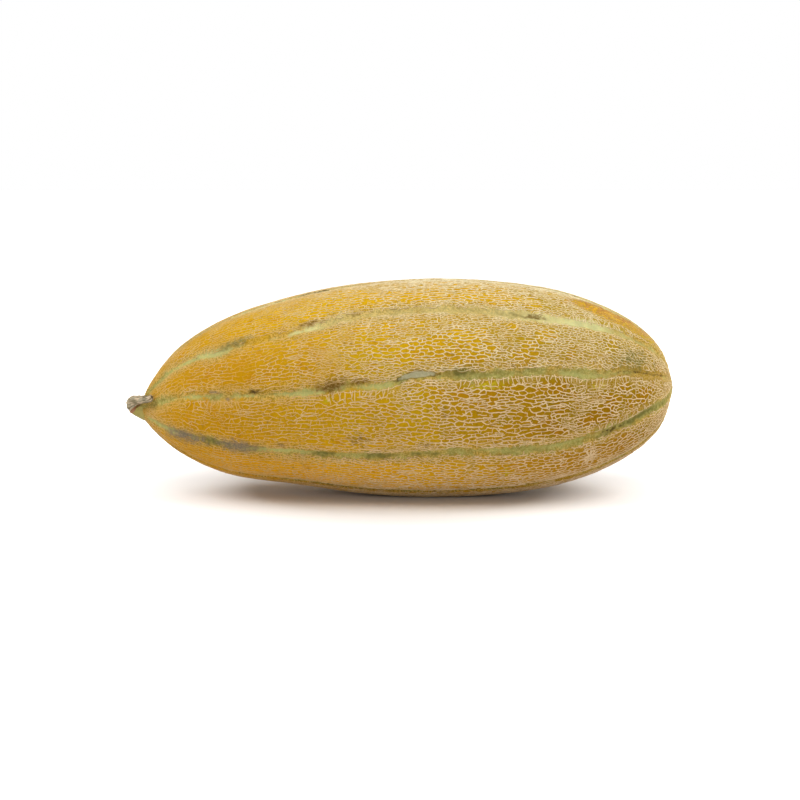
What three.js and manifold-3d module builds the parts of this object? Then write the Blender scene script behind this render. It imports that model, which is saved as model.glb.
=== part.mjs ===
// A long netted melon lying on its side, with the dried stub of its stem.
//
// Millimetres. X runs along the fruit, from the stem end to the blossom end, and +Z is up.
// The origin is on the surface the melon lies on, under the middle of the whole part.

import * as THREE from "three";
import { mergeVertices } from "three/addons/utils/BufferGeometryUtils.js";
import Module from "manifold-3d";

const wasm = await Module();
wasm.setup();

// Driving sizes of the fruit.
const FRUIT_LENGTH = 300;
const FRUIT_WIDTH = 124;
const GROOVE_DEPTH = 1.1;
const GROOVE_HALF_WIDTH = 3;
const RIB_SWELL = 0.5;
const POLE_FADE = 24;
const REST_DEPTH = 0.9;

// Stations along the fruit, from the stem end: share of the length, share of half the width, and how far
// the centre of the fruit lies from its level axis, in millimetres. The stem end droops.
const STATIONS = [
  [0, 0.107, -11.3],
  [0.016, 0.224, -9.7],
  [0.067, 0.478, -6.9],
  [0.157, 0.713, -4.7],
  [0.303, 0.88, -1],
  [0.44, 0.977, -0.3],
  [0.583, 1, 0],
  [0.723, 0.946, 0],
  [0.82, 0.84, 0.1],
  [0.917, 0.625, 0.2],
  [0.972, 0.388, 0.2],
  [0.994, 0.15, 0.1],
  [1, 0, 0.1],
];
const RINGS_PER_STATION = 3;

// The seams between the ribs, in degrees up from the -Y side, in turn round the fruit: the angle at the
// middle of the twist, how far the seam twists round the fruit, and where along the length it does so.
const SEAMS = [
  [-170, 6, 0.42],
  [-138, 5, 0.45],
  [-105, 4, 0.48],
  [-66, 3, 0.45],
  [-30.5, 4.5, 0.49],
  [11.5, 10, 0.48],
  [47.5, 8, 0.32],
  [87, 7, 0.4],
  [121, 7, 0.44],
  [155, 6, 0.46],
];
const TWIST_SPREAD = 0.15;
const STEPS_PER_RIB = 10;
const STEP_CROWDING = 0.5;

// The seams meet a little above the middle of the blossom end.
const MEETING_LIFT = 3.4;
const MEETING_LIFT_FROM = 0.8;

// The stem's centre line from the fruit's tip: x, y, z and radius. The neck is first, and the dried stub
// folds back over it towards the -Y side. The neck's root keeps a gap to the fruit.
const STEM_GAP = 0.3;
const STEM_LINE = [
  [-STEM_GAP, 0, 0, 6.3],
  [-5, -1.5, 2, 4.5],
  [-4.9, -4, 3.1, 4.2],
  [-3.9, -7.4, 4.3, 3.2],
  [-1.7, -11.1, 5.4, 2.5],
  [3.4, -15.6, 6.7, 1.9],
  [6, -18.4, 7.8, 1.4],
];
const STEM_SIDES = 12;

const RIND = new THREE.MeshStandardMaterial({ color: 0xc79a3c, roughness: 0.6, metalness: 0 });
const DRY_STEM = new THREE.MeshStandardMaterial({ color: 0xa0916a, roughness: 0.85, metalness: 0 });

const stationCurve = new THREE.CatmullRomCurve3(
  STATIONS.map(([length, width, centre]) => {
    return new THREE.Vector3(length * FRUIT_LENGTH, (width * FRUIT_WIDTH) / 2, centre);
  }),
);

// A geometry as a manifold-3d solid, with its shared corners merged.
function solidOf(geometry) {
  geometry.deleteAttribute("normal");
  geometry.deleteAttribute("uv");
  const merged = mergeVertices(geometry, 1e-4);
  const mesh = new wasm.Mesh({
    numProp: 3,
    vertProperties: merged.attributes.position.array,
    triVerts: new Uint32Array(merged.index.array),
  });
  return new wasm.Manifold(mesh);
}

// A manifold-3d solid as a geometry.
function geometryOf(solid) {
  const mesh = solid.getMesh();
  const geometry = new THREE.BufferGeometry();
  geometry.setAttribute("position", new THREE.BufferAttribute(mesh.vertProperties, 3));
  geometry.setIndex(new THREE.BufferAttribute(mesh.triVerts, 1));
  geometry.computeVertexNormals();
  return geometry;
}

// The fruit's rings, from the blossom end: x along the curve, y the radius, z the height of the centre.
function rings() {
  return stationCurve.getPoints((STATIONS.length - 1) * RINGS_PER_STATION).reverse();
}

// Where a seam runs at a ring, in radians, with the twist of the ribs and the rise to the meeting point.
function seamAngle(index, ring) {
  const turns = Math.floor(index / SEAMS.length);
  const [middle, twist, place] = SEAMS[index % SEAMS.length];
  const along = ring.x / FRUIT_LENGTH;
  const twisted = middle + 360 * turns + (twist / 2) * Math.tanh((along - place) / TWIST_SPREAD);
  const angle = THREE.MathUtils.degToRad(twisted);
  const lift = MEETING_LIFT * THREE.MathUtils.smoothstep(along, MEETING_LIFT_FROM, 1);
  return angle + (lift / Math.max(ring.y, 2 * MEETING_LIFT)) * Math.cos(angle);
}

// The angle of a column of the mesh at a ring, and its share of the way across its rib. The columns crowd
// towards the seams.
function columnAt(column, ring) {
  const rib = Math.floor(column / STEPS_PER_RIB);
  const step = (column % STEPS_PER_RIB) / STEPS_PER_RIB;
  const share = step - (STEP_CROWDING * Math.sin(2 * Math.PI * step)) / (2 * Math.PI);
  const from = seamAngle(rib, ring);
  const to = seamAngle(rib + 1, ring);
  return { angle: from + (to - from) * share, share, width: (to - from) * ring.y };
}

// How far the surface lies under the rib's crown: the swell of the rib, and the groove along its seams.
function fall(ring, share, width) {
  const fade = THREE.MathUtils.smoothstep(ring.y, 0, POLE_FADE);
  const toSeam = Math.min(share, 1 - share) * width;
  const groove = GROOVE_DEPTH * Math.exp(-((toSeam / GROOVE_HALF_WIDTH) ** 2) * 2);
  return fade * (groove + RIB_SWELL * (1 - Math.sin(Math.PI * share)));
}

// The ribbed fruit: a lathe-turned body whose columns follow the seams. Its level axis is at z = 0.
function fruitSolid() {
  const sections = rings();
  const profile = sections.map((ring) => new THREE.Vector2(ring.y, ring.x));
  profile.push(new THREE.Vector2(0, 0));
  const columns = SEAMS.length * STEPS_PER_RIB;
  const lathe = new THREE.LatheGeometry(profile, columns);
  const position = lathe.attributes.position;
  for (let i = 0; i < position.count; i += 1) {
    const row = i % profile.length;
    const column = Math.floor(i / profile.length) % columns;
    const ring = sections[Math.min(row, sections.length - 1)];
    const { angle, share, width } = columnAt(column, ring);
    const onAxis = row === 0 || row === profile.length - 1;
    const radius = onAxis ? 0 : ring.y - fall(ring, share, width);
    position.setXYZ(i, ring.x, -radius * Math.cos(angle), ring.z + radius * Math.sin(angle));
  }
  return solidOf(lathe);
}

// The flat spot that the fruit rests on, cut off its underside.
function restCut() {
  const height = FRUIT_WIDTH / 2;
  const block = new THREE.BoxGeometry(FRUIT_LENGTH, FRUIT_WIDTH, height);
  block.translate(FRUIT_LENGTH / 2, 0, -FRUIT_WIDTH / 2 + REST_DEPTH - height / 2);
  return solidOf(block);
}

// A tapered length of stem between two points of its line.
function stemLength(from, to) {
  const start = new THREE.Vector3(from[0], from[1], from[2]);
  const run = new THREE.Vector3(to[0], to[1], to[2]).sub(start);
  const taper = new THREE.CylinderGeometry(to[3], from[3], run.length(), STEM_SIDES);
  taper.translate(0, run.length() / 2, 0);
  const turn = new THREE.Quaternion().setFromUnitVectors(new THREE.Vector3(0, 1, 0), run.normalize());
  taper.applyQuaternion(turn);
  taper.translate(start.x, start.y, start.z);
  return solidOf(taper);
}

// A rounded knuckle at a point of the stem's line.
function stemKnuckle(point) {
  const ball = new THREE.SphereGeometry(point[3], STEM_SIDES, STEM_SIDES / 2);
  ball.translate(point[0], point[1], point[2]);
  return solidOf(ball);
}

// The half-space in front of the fruit's tip, so that the slanting neck keeps its gap to the fruit.
function tipSpace() {
  const side = FRUIT_WIDTH / 4;
  const block = new THREE.BoxGeometry(side, side, side);
  block.translate(-STEM_GAP - side / 2, 0, 0);
  return solidOf(block);
}

// The stem, with the middle of its root at the origin.
function stemSolid() {
  const neck = stemLength(STEM_LINE[0], STEM_LINE[1]).intersect(tipSpace());
  return STEM_LINE.slice(1).reduce((stem, point, i) => {
    const joined = stem.add(stemKnuckle(point));
    return i === 0 ? joined : joined.add(stemLength(STEM_LINE[i], point));
  }, neck);
}

function melon() {
  const fruit = new THREE.Mesh(geometryOf(fruitSolid().subtract(restCut())), RIND);
  fruit.name = "fruit";
  const stem = new THREE.Mesh(geometryOf(stemSolid()), DRY_STEM);
  stem.name = "stem";
  stem.position.set(0, 0, STATIONS[0][2]);
  const part = new THREE.Group();
  part.add(fruit, stem);
  const box = new THREE.Box3().setFromObject(part);
  part.position.set(-(box.min.x + box.max.x) / 2, -(box.min.y + box.max.y) / 2, -box.min.z);
  const frame = new THREE.Group();
  frame.add(part);
  return frame;
}

export default melon();
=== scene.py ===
"""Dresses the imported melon: its rind, the cork netting on it, its dried stem, and the stage it lies on.

Everything is in metres in the model's own frame: X runs along the fruit from the stem end, +Z is up.
"""

import math
from types import SimpleNamespace

import bpy
import numpy as np
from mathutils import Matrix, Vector, noise


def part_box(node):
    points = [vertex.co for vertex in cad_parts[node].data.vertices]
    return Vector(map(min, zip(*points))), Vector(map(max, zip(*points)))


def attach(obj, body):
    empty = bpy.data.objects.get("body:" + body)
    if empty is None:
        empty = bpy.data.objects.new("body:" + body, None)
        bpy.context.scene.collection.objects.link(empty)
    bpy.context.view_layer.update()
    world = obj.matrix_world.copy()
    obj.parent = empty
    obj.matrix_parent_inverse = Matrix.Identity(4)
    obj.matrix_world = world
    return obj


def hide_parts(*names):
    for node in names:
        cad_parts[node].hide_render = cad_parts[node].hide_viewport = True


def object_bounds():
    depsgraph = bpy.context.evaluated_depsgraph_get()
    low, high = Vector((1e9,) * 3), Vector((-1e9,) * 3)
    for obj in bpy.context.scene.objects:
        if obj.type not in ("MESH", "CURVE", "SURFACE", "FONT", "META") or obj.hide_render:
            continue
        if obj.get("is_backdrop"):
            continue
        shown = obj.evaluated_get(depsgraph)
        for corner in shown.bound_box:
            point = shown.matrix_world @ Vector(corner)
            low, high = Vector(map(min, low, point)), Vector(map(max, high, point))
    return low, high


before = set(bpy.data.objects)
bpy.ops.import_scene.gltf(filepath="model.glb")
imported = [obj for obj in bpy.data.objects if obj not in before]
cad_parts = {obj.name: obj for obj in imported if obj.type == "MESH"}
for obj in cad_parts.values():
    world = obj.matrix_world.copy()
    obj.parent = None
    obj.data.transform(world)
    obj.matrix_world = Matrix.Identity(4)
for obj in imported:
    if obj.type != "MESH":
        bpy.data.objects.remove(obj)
CAD_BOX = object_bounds()

bl_info = {
    "name": "Netted melon",
    "version": (1, 0, 0),
    "blender": (4, 5, 0),
    "location": "3D View > Sidebar > Melon",
    "description": "Builds the rind, cork netting, stem and stage of a long netted melon",
    "category": "Add Mesh",
}

MM = 0.001

# The point that the camera looks at.
CAMERA_AIM = Vector((0.0003, 0, 0.0539))

# The net is made as this many pieces round the fruit.
SECTORS = 5
# The grain at which the net's cells turn from wide to middle-sized, and from those to fine.
MIDDLE_GRAIN, FINE_GRAIN = 0.3, 0.72
# How far the rind and the net keep off the floor, and the net's lines off the fruit's tips, in millimetres.
RIND_LIFT = 0.3
NET_LIFT = 0.02
TIP_MARGIN = 0.1

# The fruit's form, as the model's source gives it, in millimetres.
FRUIT_LENGTH = 300
FRUIT_WIDTH = 124
GROOVE_DEPTH = 1.1
GROOVE_HALF_WIDTH = 3
RIB_SWELL = 0.5
POLE_FADE = 24
REST_DEPTH = 0.9
STATIONS = (
    (0, 0.107, -11.3), (0.016, 0.224, -9.7), (0.067, 0.478, -6.9), (0.157, 0.713, -4.7),
    (0.303, 0.88, -1), (0.44, 0.977, -0.3), (0.583, 1, 0), (0.723, 0.946, 0), (0.82, 0.84, 0.1),
    (0.917, 0.625, 0.2), (0.972, 0.388, 0.2), (0.994, 0.15, 0.1), (1, 0, 0.1),
)
# Each seam: its middle in degrees up from the -Y side, how far it twists, and where along the fruit.
SEAMS = (
    (-170, 6, 0.42), (-138, 5, 0.45), (-105, 4, 0.48), (-66, 3, 0.45), (-30.5, 4.5, 0.49),
    (11.5, 10, 0.48), (47.5, 8, 0.32), (87, 7, 0.4), (121, 7, 0.44), (155, 6, 0.46),
)
BOTTOM_SEAM, LOWER_SEAM, FRONT_SEAM, UPPER_SEAM, TOP_SEAM = 3, 4, 5, 6, 7
# How far the seams on the front dip under their twist: millimetres along, millimetres down.
DIPS = {
    LOWER_SEAM: (
        (0, 0), (16, 0), (41, -1.5), (66, 0.6), (109, 1.3), (160, 0), (172, -1), (190, 0), (228, 1.1),
        (246, -0.9), (270, -2.5), (284, -3.6), (300, 0),
    ),
    FRONT_SEAM: (
        (0, 0), (35, -0.5), (50, 1), (66, 1.9), (100, 2.7), (115, 1.7), (138, 2.8), (151, 0.1), (162, 0.5),
        (176, 2.5), (205, 2), (228, 0.7), (250, 2.3), (270, 0.4), (285, 1.5), (300, 0),
    ),
    UPPER_SEAM: (
        (0, 0), (33, 0.5), (45, 2.8), (60, 2.2), (85, 3.9), (100, 3.4), (116, 1.1), (165, 0.4), (190, 0.8),
        (205, 2.4), (235, 2.6), (255, 1.7), (280, 1.6), (300, 0),
    ),
    TOP_SEAM: ((0, 0), (200, 0), (235, 3), (262, 5), (285, 3), (300, 0)),
}
TWIST_SPREAD = 0.15
MEETING_LIFT = 3.4
MEETING_LIFT_FROM = 0.8
# The stem's centre line from the fruit's tip, in millimetres: x, y, z and radius.
STEM_LINE = (
    (2.8, 0.4, -0.5, 7.6), (0.6, 0, -0.2, 6.9), (-2.6, -0.6, 0.5, 5.6), (-4.8, -1.5, 1.6, 4.4),
    (-5.4, -4, 3.2, 3.2), (-4.2, -7.4, 4.5, 2.9), (-1.7, -11.1, 5.5, 2.5), (3.6, -15.8, 6.5, 2.0),
    (6.0, -17.9, 7.0, 1.8), (7.1, -18.4, 7.8, 1.65),
)

TIP_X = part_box("fruit")[0].x / MM
AXIS_Z = FRUIT_WIDTH / 2 - REST_DEPTH
STEM_ROOT = np.array((TIP_X, 0, AXIS_Z + STATIONS[0][2]))
# Points on the stem's smooth line for each of those given.
STEM_SAMPLES = 12
# The way that the rim of the neck faces, and how far along the stem it is dry all round, in millimetres.
RIM_FACING = np.array((-0.88, -0.27, 0.4))
DRY_FROM = 9.5

# Marks on the rind, by the seam that they lie on: kind, millimetres along, millimetres above the seam,
# length, width and strength. A mark on no seam has its angle in degrees in place of the height.
MARKS = {
    UPPER_SEAM: (
        ("brown", 96, 4, 9, 3.6, 1.1), ("brown", 103, 2.6, 4, 1.6, 0.8), ("brown", 120, 2.3, 7, 2.4, 0.85),
        ("brown", 219, 0.5, 11, 3.2, 1), ("olive", 54, 2.8, 18, 4.5, 1), ("olive", 150, 0, 24, 5, 0.45),
        ("olive", 186, 0, 20, 5, 0.45), ("olive", 211, 0.5, 28, 4.5, 0.65), ("mint", 32, 0, 30, 5, 1),
        ("mint", 94, 0, 20, 5, 1), ("mint", 200, 0, 50, 4, 0.4), ("mint", 247, 0, 28, 7, 1),
        ("overgrown", 70, 0, 26, 16, 1.2), ("overgrown", 294, 0, 44, 20, 1),
    ),
    FRONT_SEAM: (
        ("brown", 43.5, 2.7, 6, 2, 0.9), ("brown", 52, -1, 5, 2, 0.9), ("brown", 109, 1.8, 14, 8, 1.2),
        ("brown", 124, 3, 12, 3, 1), ("brown", 207, 4.3, 4, 1.5, 1), ("olive", 178, 2.6, 15, 4.5, 1.1),
        ("olive", 273, 7, 22, 13, 0.85), ("dark", 66.5, 2.4, 6, 2.5, 1), ("dark", 144.5, 0.8, 1.5, 3, 0.8),
        ("dark", 153, -1.3, 16, 1, 0.8), ("dark", 156, 2.8, 17, 1, 0.9), ("dark", 280, 0.7, 28, 1.2, 0.8),
        ("scar", 155, 0.8, 18, 3.2, 1.3), ("fresh", 106, -5.8, 5, 3, 1), ("fresh", 193, -6, 20, 4, 1),
        ("fresh", 254, -6, 7, 3, 0.9), ("mint", 30, 0, 18, 6, 0.8), ("mint", 60, 0, 24, 4, 0.8),
        ("mint", 94, 0, 36, 6, 1), ("mint", 134, 0, 22, 5, 1), ("mint", 246, 0, 44, 5, 0.6),
        ("overgrown", 57, 0, 50, 16, 0.35), ("overgrown", 288, 0, 40, 16, 1.1),
    ),
    LOWER_SEAM: (
        ("brown", 26, -0.9, 20, 8.5, 1.2), ("brown", 57, 0.9, 21, 8, 1.2), ("brown", 81.5, 4.4, 9, 3, 0.8),
        ("olive", 42, 0, 16, 6, 1), ("olive", 105, 0, 12, 4, 1), ("olive", 134, 0, 14, 4.5, 1),
        ("olive", 155, 0, 7, 3.5, 1), ("olive", 166, -1, 5, 2, 1), ("olive", 277, 0, 26, 4, 1),
        ("dark", 261, -0.8, 14, 4.5, 0.7), ("mint", 14, 0, 24, 6, 1), ("mint", 80, 0, 28, 5, 0.9),
        ("mint", 196, 0, 22, 4, 0.6), ("mint", 232, 0, 34, 4, 0.55),
    ),
    BOTTOM_SEAM: (
        ("olive", 112, 0, 40, 4, 0.9), ("overgrown", 40, 0, 76, 20, 1.1),
        ("overgrown", 215, 0, 150, 20, 0.8),
    ),
    None: (
        ("brown", 124, -22, 10, 8, 0.85), ("brown", 160, -24, 10, 4, 0.7), ("brown", 169, -4, 4, 6, 0.6),
        ("fresh", 204, -45, 3, 7, 1), ("fresh", 268, 71, 52, 15, 1.1),
    ),
}
MARK_KINDS = ("brown", "olive", "dark", "scar", "fresh", "mint", "overgrown")
# The seams whose marks are all placed above.
PLACED_SEAMS = (BOTTOM_SEAM, LOWER_SEAM, FRONT_SEAM, UPPER_SEAM)

# Cracks that healed as a pair of pale lips: millimetres along, angle in degrees, length.
LIPS = (
    (123, -1.5, 11), (185, 0, 14), (149, 69, 12), (159, 71, 9), (60, -6, 12), (96, -8, 9), (215, -14, 10),
    (226, 33, 9), (140, 31, 9), (198, -19, 9), (88, 26, 10), (168, 57, 8), (243, 0, 13), (231, -4, 12),
    (253, -3, 10), (207, -3, 13), (190, -3, 9), (238, -17, 9), (222, -10, 8),
)

# A star-shaped scar: millimetres along, angle in degrees.
STAR = (250, -43)

# Where short cross lines stand side by side along a seam: seam, side, from and to in millimetres along.
COMBS = (
    (FRONT_SEAM, -1, 176, 272), (FRONT_SEAM, -1, 104, 146), (FRONT_SEAM, -1, 28, 60),
    (LOWER_SEAM, 1, 252, 286), (UPPER_SEAM, 1, 236, 270), (1, -1, 60, 120), (8, 1, 150, 210),
    (2, 1, 200, 260),
)


def smoothstep(low, high, value):
    share = np.clip((value - low) / (high - low), 0, 1)
    return share * share * (3 - 2 * share)


def linear(hex_colour):
    """An sRGB hex colour as the linear RGBA that a shader takes."""
    parts = [int(hex_colour[i : i + 2], 16) / 255 for i in (1, 3, 5)]
    return (*[c / 12.92 if c <= 0.04045 else ((c + 0.055) / 1.055) ** 2.4 for c in parts], 1)


def smooth_line(points, samples):
    """A centripetal Catmull-Rom curve through the points, as rows, with some samples between each two."""
    points = np.array(points, float)
    points = np.vstack([2 * points[0] - points[1], points, 2 * points[-1] - points[-2]])
    rows = []
    for p0, p1, p2, p3 in zip(points, points[1:], points[2:], points[3:]):
        gaps = [np.linalg.norm(b - a) ** 0.5 for a, b in ((p0, p1), (p1, p2), (p2, p3))]
        start = (p1 - p0) / gaps[0] - (p2 - p0) / (gaps[0] + gaps[1]) + (p2 - p1) / gaps[1]
        end = (p2 - p1) / gaps[1] - (p3 - p1) / (gaps[1] + gaps[2]) + (p3 - p2) / gaps[2]
        start, end = start * gaps[1], end * gaps[1]
        t = np.linspace(0, 1, samples, endpoint=False)[:, None]
        bend = (2 * p1 - 2 * p2 + start + end) * t**3
        rows.append(p1 + start * t + (3 * (p2 - p1) - 2 * start - end) * t**2 + bend)
    return np.vstack([*rows, points[-2]])


def outline():
    """The fruit's outline from tip to tip, as rows.

    A row holds the distance along, the radius, the centre's height, the distance travelled over the surface,
    and how far the surface leans along the fruit and out from it.
    """
    curve = smooth_line([(a * FRUIT_LENGTH, w * FRUIT_WIDTH / 2, c) for a, w, c in STATIONS], 64)
    curve = np.vstack([(0, 0, curve[0][2]), curve])
    steps = np.linalg.norm(np.diff(curve[:, :2], axis=0), axis=1)
    travelled = np.concatenate([[0], np.cumsum(steps)])
    slope = np.gradient(curve[:, 1], travelled)
    run = np.gradient(curve[:, 0], travelled)
    size = np.hypot(slope, run)
    return np.column_stack([curve, travelled, -slope / size, run / size])


OUTLINE = outline()
DIP_LINES = {seam: smooth_line(points, 8).T for seam, points in DIPS.items()}
ALONG, TRAVELLED = 0, 3


def rows_at(values, column):
    """The outline's rows where one of its columns has the values given."""
    return np.stack([np.interp(values, OUTLINE[:, column], OUTLINE[:, i]) for i in range(6)], -1)


def seam_angles(along, radius):
    """Where each seam runs at each ring, in radians up from the -Y side, one more than all round."""
    share = along / FRUIT_LENGTH
    lift = MEETING_LIFT * smoothstep(MEETING_LIFT_FROM, 1, share) / np.maximum(radius, 2 * MEETING_LIFT)
    angles = []
    for seam, (middle, twist, place) in enumerate((*SEAMS, (SEAMS[0][0] + 360, *SEAMS[0][1:]))):
        angle = np.radians(middle + twist / 2 * np.tanh((share - place) / TWIST_SPREAD))
        dip = np.interp(along, *DIP_LINES[seam]) if seam in DIPS else 0
        angles.append(angle + lift * np.cos(angle) - dip / np.maximum(radius, 12))
    return np.array(angles)


def on_rind(rows, angle, depth):
    """Places on the rind at a depth under the net's crests, and their distances to a seam, in millimetres."""
    along, radius, centre, _, lean_along, lean_out = rows.T
    seams = seam_angles(along, radius)
    angle = seams[0] + np.mod(angle - seams[0], 2 * np.pi)
    rib = np.clip((angle >= seams).sum(0) - 1, 0, len(SEAMS) - 1)[None]
    low, high = np.take_along_axis(seams, rib, 0)[0], np.take_along_axis(seams, rib + 1, 0)[0]
    share = (angle - low) / (high - low)
    to_seam = np.minimum(share, 1 - share) * (high - low) * radius
    groove = GROOVE_DEPTH * np.exp(-2 * (to_seam / GROOVE_HALF_WIDTH) ** 2)
    fall = smoothstep(0, POLE_FADE, radius) * (groove + RIB_SWELL * (1 - np.sin(np.pi * share)))
    out = np.maximum(radius - fall - depth * lean_out, 0)
    height = np.maximum(AXIS_Z + centre + out * np.sin(angle), RIND_LIFT)
    place = np.stack([TIP_X + along - depth * lean_along, -out * np.cos(angle), height], -1)
    return place, to_seam


def past(angle, line):
    """How far angles are past a line, from half a turn back to half a turn on."""
    return np.mod(angle - line + np.pi, 2 * np.pi) - np.pi


def all_marks():
    """The marks listed above, and those at random on the seams that face away, each with its seam first."""
    chance = np.random.default_rng(11)
    hidden = [seam for seam in range(len(SEAMS)) if seam not in PLACED_SEAMS]
    stains = [
        (seam, chance.choice(["brown", "olive", "olive", "dark", "fresh"]), chance.uniform(25, 285),
         chance.uniform(-3, 3), chance.uniform(4, 18), chance.uniform(2, 6), chance.uniform(0.7, 1))
        for seam in hidden for _ in range(9)
    ]
    mints = [
        (seam, "mint", chance.uniform(25, 285), 0, chance.uniform(14, 50), chance.uniform(3, 6), 1)
        for seam in hidden for _ in range(3)
    ]
    return [(seam, *mark) for seam, marks in MARKS.items() for mark in marks] + stains + mints


ALL_MARKS = all_marks()


def marks_at(rows, angle):
    """How strongly each kind of mark shows at places on the rind: 1 in its middle, 0.5 at its rim."""
    along, radius = rows[:, 0], rows[:, 1]
    seams = seam_angles(along, radius)
    fields = {kind: np.zeros(len(rows)) for kind in MARK_KINDS}
    for seam, kind, middle, offset, length, width, strength in ALL_MARKS:
        if seam is None:
            across = past(angle, np.radians(offset)) * radius
        else:
            across = past(angle, seams[seam]) * radius - offset
        reach = np.hypot((along - middle) / (length / 2), across / (width / 2))
        fields[kind] = np.maximum(fields[kind], strength * np.clip(1 - reach / 2, 0, 1))
    # The blossom's scar lies round the far tip.
    fields["scar"] = np.maximum(fields["scar"], smoothstep(8, 2, radius) * (along > FRUIT_LENGTH / 2))
    return fields


def drift(places, wavelength, seed):
    """Smooth noise from about -1 to 1 at places in millimetres."""
    shift = Vector((seed * 17.3, seed * 5.1, seed * 9.7))
    return np.array([noise.noise(Vector(p) / wavelength + shift) for p in places.tolist()])


def between(place, low, high):
    """1 on the fruit between two angles in degrees up from the -Y side."""
    angle = np.degrees(np.arctan2(place[:, 2] - AXIS_Z, -place[:, 1]))
    return smoothstep(low, low + 10, angle) * smoothstep(high, high - 10, angle)


def front_rib(place):
    """1 on the rib that faces -Y, which has the longest cells."""
    return between(place, -36, 16)


def grain(place, to_seam, along):
    """Where the net is fine: beside the seams, in patches, and more so towards the blossom end."""
    near = 0.75 * smoothstep(9, 4, to_seam) - 0.35 * smoothstep(45, 20, place[:, 2])
    # The cells are wider on the front rib, and smaller on the rib above it past the fruit's first third.
    near -= front_rib(place) * (0.22 - 0.12 * smoothstep(130, 180, along))
    near += 0.2 * between(place, 12, 52) * smoothstep(100, 140, along)
    end = 0.25 * along / FRUIT_LENGTH + 0.7 * smoothstep(225, 262, along) * smoothstep(30, 55, place[:, 2])
    return near + 0.9 * drift(place, 26, 3) + 1.1 * drift(place, 9, 4) + end + 0.18


class MelonRind(bpy.types.PropertyGroup):
    depth: bpy.props.FloatProperty(
        name="Skin depth", description="How far the bare skin lies under the net's crests",
        default=0.6 * MM, unit="LENGTH")
    rings: bpy.props.IntProperty(
        name="Rings", description="Rings of faces from end to end", default=310)
    columns: bpy.props.IntProperty(
        name="Columns", description="Columns of faces on each rib", default=28)
    skin: bpy.props.FloatVectorProperty(
        name="Skin", description="Colour of the ripe skin in the cells of the net",
        default=linear("#BD8E00"), size=4, subtype="COLOR")
    seam: bpy.props.FloatVectorProperty(
        name="Seam", description="Colour of the green seams",
        default=linear("#A8A25A"), size=4, subtype="COLOR")


class MelonNet(bpy.types.PropertyGroup):
    cell: bpy.props.FloatProperty(
        name="Cell width", description="Least width of the wide cells across a rib",
        default=1.92 * MM, unit="LENGTH")
    middle_cell: bpy.props.FloatProperty(
        name="Middle cell width", description="Least width of the cells of middle size",
        default=1.78 * MM, unit="LENGTH")
    fine_cell: bpy.props.FloatProperty(
        name="Fine cell width", description="Least width of the cells beside the seams",
        default=1.25 * MM, unit="LENGTH")
    line: bpy.props.FloatProperty(
        name="Line width", description="Width of a line of cork", default=0.92 * MM, unit="LENGTH")
    height: bpy.props.FloatProperty(
        name="Line height", description="How far a line stands over the skin",
        default=0.32 * MM, unit="LENGTH")
    cork: bpy.props.FloatVectorProperty(
        name="Cork", description="Colour of the net", default=linear("#F2E8C2"), size=4,
        subtype="COLOR")
    seed: bpy.props.IntProperty(name="Seed", description="Seed of the net's layout", default=7)


class MelonStem(bpy.types.PropertyGroup):
    green: bpy.props.FloatVectorProperty(
        name="Neck", description="Colour of the green neck", default=linear("#B0A65A"), size=4,
        subtype="COLOR")
    dry: bpy.props.FloatVectorProperty(
        name="Dry stub", description="Colour of the dried stub", default=linear("#A89C80"), size=4,
        subtype="COLOR")


class MelonStage(bpy.types.PropertyGroup):
    elevation: bpy.props.FloatProperty(
        name="Elevation", description="How far above the level the camera looks from",
        default=math.radians(7), subtype="ANGLE")
    distance: bpy.props.FloatProperty(
        name="Distance", description="From the camera to the fruit's middle", default=1.2567,
        unit="LENGTH")


def result(node):
    """The output that a node has in use."""
    return next(s for s in node.outputs if s.enabled)


def add(tree, kind, inputs=None, **settings):
    """Adds a node with its settings, and gives its inputs values or other nodes' outputs."""
    made = tree.nodes.new(kind)
    for name, value in settings.items():
        setattr(made, name, value)
    for name, value in (inputs or {}).items():
        usable = [s for s in made.inputs if s.enabled]
        socket = usable[name] if isinstance(name, int) else next(s for s in usable if s.name == name)
        if isinstance(value, bpy.types.Node):
            value = result(value)
        if isinstance(value, bpy.types.NodeSocket):
            tree.links.new(value, socket)
        else:
            socket.default_value = value
    return made


def new_material(name):
    """An empty material, with its tree and its surface shader."""
    material = bpy.data.materials.new(name)
    material.use_nodes = True
    tree = material.node_tree
    return material, tree, tree.nodes["Principled BSDF"]


def finished(piece):
    """Puts a smooth piece in the scene, riding on the fruit's body."""
    piece.data.shade_smooth()
    bpy.context.scene.collection.objects.link(piece)
    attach(piece, "root")
    return piece


def store(mesh, name, values):
    """Keeps a number or a vector at each corner point of a mesh."""
    kind, key = ("FLOAT", "value") if values.ndim == 1 else ("FLOAT_VECTOR", "vector")
    mesh.attributes.new(name, kind, "POINT").data.foreach_set(key, values.astype(np.float32).ravel())


def store_marks(mesh, marks):
    """Keeps the stains and the patches on a mesh, three kinds to a field."""
    store(mesh, "stain", np.stack([marks["brown"], marks["olive"], marks["dark"]], -1))
    store(mesh, "patch", np.stack([marks["scar"], marks["fresh"], marks["mint"]], -1))


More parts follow.
